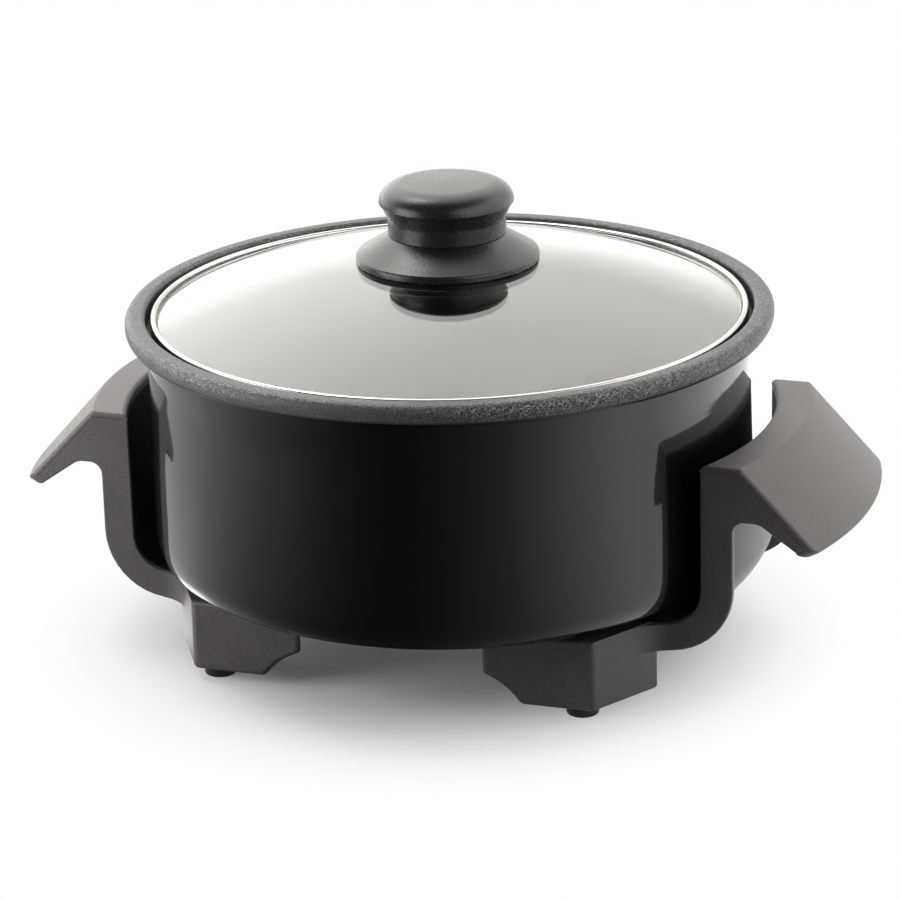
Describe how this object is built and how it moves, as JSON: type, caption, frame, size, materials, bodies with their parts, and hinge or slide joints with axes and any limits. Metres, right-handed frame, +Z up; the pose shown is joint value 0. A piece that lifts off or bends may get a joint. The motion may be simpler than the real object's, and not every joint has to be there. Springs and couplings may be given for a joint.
{
  "type": "electric skillet",
  "caption": "Round electric skillet: deep coated pan on two channel handles with foot blocks, lift-off domed glass lid with a skirted knob, and a heater with a plug-in socket below.",
  "frame": {"origin": "on the table, under the middle of the pan", "axes": "+Z up, +X through the two handles, +Y towards the socket at the back"},
  "size_m": [0.2954, 0.2208, 0.162],
  "materials": {
    "tempered_glass": "clear, polished, faintly grey",
    "stainless_steel": "bright rolled",
    "knob_phenolic": "moulded satin black",
    "brass": "turned",
    "silicone_black": "moulded",
    "silicone_clear": "moulded, milky",
    "plated_steel": "bright zinc or nickel plate",
    "coated_aluminium": "gloss black outside, speckled grey nonstick on the rim and inside",
    "bare_aluminium": "rolled, unpolished",
    "heater_sheath": "oxidised heater tube",
    "ceramic": "fired, unglazed",
    "pressed_steel": "pressed, heat darkened",
    "handle_phenolic": "moulded, fine matt grain, warm dark grey",
    "mica": "stamped mica board",
    "foot_rubber": "moulded black"
  },
  "bodies": {
    "base": {"pan": "coated_aluminium", "heat_plate": "bare_aluminium", "heating_element": "heater_sheath", "probe_sleeve": "bare_aluminium", "terminal_pins": "plated_steel", "pin_bushes": "ceramic", "bottom_cover": "pressed_steel", "cover_screw": "plated_steel", "socket_guard": "knob_phenolic", "guard_studs": "plated_steel", "guard_nuts": "plated_steel", "handle_left": "handle_phenolic", "handle_right": "handle_phenolic", "grip_cover_left": "handle_phenolic", "grip_cover_right": "handle_phenolic", "grip_screws": "plated_steel", "handle_studs": "plated_steel", "handle_spacers": "mica", "handle_nuts": "plated_steel", "foot_front_left": "foot_rubber", "foot_front_right": "foot_rubber", "foot_back_left": "foot_rubber", "foot_back_right": "foot_rubber"},
    "lid": {"lid_glass": "tempered_glass", "lid_band": "stainless_steel", "knob_grip": "knob_phenolic", "knob_skirt": "knob_phenolic", "knob_insert": "brass", "knob_gasket": "silicone_black", "knob_seal": "silicone_clear", "knob_washer": "stainless_steel", "knob_screw": "plated_steel"}
  },
  "joints": [
    {"name": "lid_lift", "type": "slide", "parent": "base", "child": "lid", "axis": [0, 0, 1], "range_m": [0, 0.12]}
  ]
}
